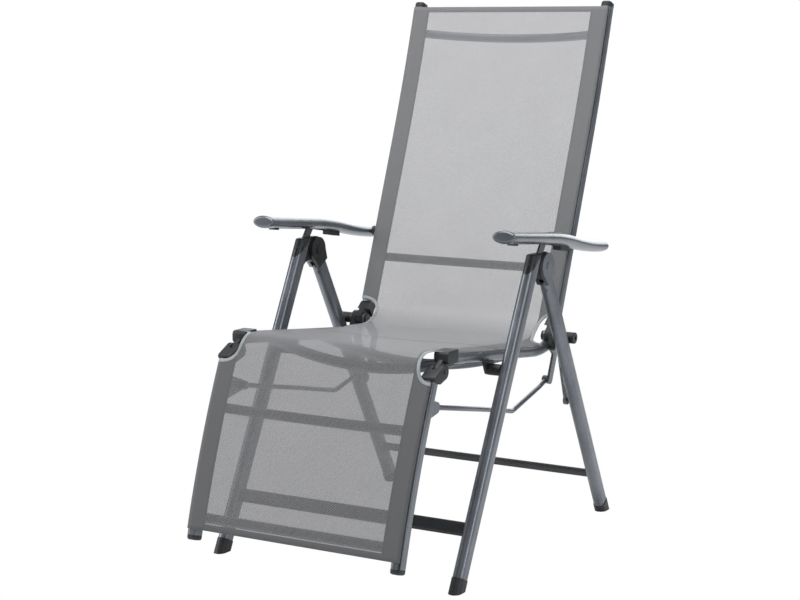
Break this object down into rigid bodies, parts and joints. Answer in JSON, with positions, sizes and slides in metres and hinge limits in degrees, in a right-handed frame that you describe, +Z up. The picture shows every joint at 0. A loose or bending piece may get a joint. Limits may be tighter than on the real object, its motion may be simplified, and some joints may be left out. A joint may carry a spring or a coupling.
{
  "type": "reclining garden armchair",
  "caption": "Folding reclining garden armchair with mesh seat, linked leg rest and notched armrests.",
  "frame": {"origin": "on the floor under the middle of the chair's outline", "axes": "+Z up, -Y the way the sitter faces, +X to the sitter's left"},
  "size_m": [0.602, 0.9474, 1.1169],
  "materials": {
    "coated_metal": "satin metallic anthracite coating",
    "black_plastic": "fine grain, matt",
    "bare_steel": "dull zinc",
    "mesh_fabric": "woven coated mesh, half see-through"
  },
  "bodies": {
    "seat": {"seat_side_tube_left": "coated_metal", "seat_side_tube_right": "coated_metal", "seat_front_head_left": "black_plastic", "seat_front_head_right": "black_plastic", "seat_rear_head_left": "black_plastic", "seat_rear_head_right": "black_plastic", "fold_bracket_left": "black_plastic", "fold_bracket_right": "black_plastic", "seat_cross_tube_front": "coated_metal", "seat_cross_tube_rear": "coated_metal", "seat_mesh": "mesh_fabric"},
    "front_legs": {"front_leg_tube_left": "coated_metal", "front_leg_tube_right": "coated_metal", "front_leg_head_left": "black_plastic", "front_leg_head_right": "black_plastic", "front_leg_foot_left": "black_plastic", "front_leg_foot_right": "black_plastic", "arm_prop_left": "bare_steel", "arm_prop_right": "bare_steel", "front_cross_bar": "coated_metal"},
    "rear_legs": {"rear_leg_tube_left": "coated_metal", "rear_leg_tube_right": "coated_metal", "rear_leg_fork_left": "black_plastic", "rear_leg_fork_right": "black_plastic", "rear_leg_foot_left": "black_plastic", "rear_leg_foot_right": "black_plastic", "rear_cross_bar": "coated_metal"},
    "link_left": {"folding_link_left": "bare_steel"},
    "link_right": {"folding_link_right": "bare_steel"},
    "backrest": {"back_rail_left": "coated_metal", "back_rail_right": "coated_metal", "back_rail_cap_left": "black_plastic", "back_rail_cap_right": "black_plastic", "back_head_left": "black_plastic", "back_head_right": "black_plastic", "recline_lever_left": "coated_metal", "recline_lever_right": "coated_metal", "back_cross_tube_low": "coated_metal", "back_cross_tube_top": "coated_metal", "back_mesh": "mesh_fabric"},
    "leg_rest": {"rest_rail_left": "coated_metal", "rest_rail_right": "coated_metal", "rest_rail_cap_left": "black_plastic", "rest_rail_cap_right": "black_plastic", "rest_head_left": "black_plastic", "rest_head_right": "black_plastic", "rest_cross_tube_top": "coated_metal", "rest_cross_tube_low": "coated_metal", "rest_mesh": "mesh_fabric"},
    "rod_left": {"push_rod_left": "coated_metal"},
    "rod_right": {"push_rod_right": "coated_metal"},
    "bush_left": {"arm_bush_left": "black_plastic"},
    "bush_right": {"arm_bush_right": "black_plastic"},
    "armrest_left": {"arm_tube_left": "coated_metal", "arm_insert_left": "black_plastic"},
    "armrest_right": {"arm_tube_right": "coated_metal", "arm_insert_right": "black_plastic"}
  },
  "joints": [
    {"name": "fold", "type": "hinge", "parent": "seat", "child": "front_legs", "pos_m": [0, -0.10222, 0.397], "axis": [1, 0, 0], "range_deg": [0, 88]},
    {"name": "fold_rear_legs", "type": "hinge", "parent": "front_legs", "child": "rear_legs", "pos_m": [0, 0.05248, 0.5881], "axis": [-1, 0, 0], "range_deg": [0, 50.71]},
    {"name": "fold_link_left", "type": "hinge", "parent": "seat", "child": "link_left", "pos_m": [0.252, 0.18506, 0.42244], "axis": [-1, 0, 0], "range_deg": [0, 105.8]},
    {"name": "fold_link_right", "type": "hinge", "parent": "seat", "child": "link_right", "pos_m": [-0.252, 0.18506, 0.42244], "axis": [-1, 0, 0], "range_deg": [0, 105.8]},
    {"name": "recline", "type": "hinge", "parent": "seat", "child": "backrest", "pos_m": [0, 0.18506, 0.42244], "axis": [-1, 0, 0], "range_deg": [0, 38]},
    {"name": "leg_rest_lift", "type": "hinge", "parent": "seat", "child": "leg_rest", "pos_m": [0, -0.30945, 0.4245], "axis": [-1, 0, 0], "range_deg": [0, 59.48]},
    {"name": "rod_swing_left", "type": "hinge", "parent": "backrest", "child": "rod_left", "pos_m": [0.214, 0.20775, 0.324], "axis": [1, 0, 0], "range_deg": [0, 35.77]},
    {"name": "rod_swing_right", "type": "hinge", "parent": "backrest", "child": "rod_right", "pos_m": [-0.214, 0.20775, 0.324], "axis": [1, 0, 0], "range_deg": [0, 35.77]},
    {"name": "arm_follow_left", "type": "hinge", "parent": "seat", "child": "bush_left", "pos_m": [0.246, -0.02097, 0.18222], "axis": [-1, 0, 0], "range_deg": [0, 15.01]},
    {"name": "arm_follow_right", "type": "hinge", "parent": "seat", "child": "bush_right", "pos_m": [-0.246, -0.02097, 0.18222], "axis": [-1, 0, 0], "range_deg": [0, 15.01]},
    {"name": "arm_lift_left", "type": "hinge", "parent": "bush_left", "child": "armrest_left", "pos_m": [0.246, 0.27174, 0.61], "axis": [-1, 0, 0], "range_deg": [0, 53]},
    {"name": "arm_lift_right", "type": "hinge", "parent": "bush_right", "child": "armrest_right", "pos_m": [-0.246, 0.27174, 0.61], "axis": [-1, 0, 0], "range_deg": [0, 53]}
  ],
  "couplings": [
    {"joint": "fold_rear_legs", "follows": "fold", "ratio": 0.574},
    {"joint": "fold_link_left", "follows": "fold", "ratio": 1.2},
    {"joint": "fold_link_right", "follows": "fold", "ratio": 1.2},
    {"joint": "arm_lift_left", "follows": "fold", "ratio": 0.6},
    {"joint": "arm_lift_right", "follows": "fold", "ratio": 0.6},
    {"joint": "leg_rest_lift", "follows": "recline", "ratio": 1.56},
    {"joint": "rod_swing_left", "follows": "recline", "ratio": 0.936},
    {"joint": "rod_swing_right", "follows": "recline", "ratio": 0.936},
    {"joint": "arm_follow_left", "follows": "recline", "ratio": 0.3898},
    {"joint": "arm_follow_right", "follows": "recline", "ratio": 0.3898}
  ]
}
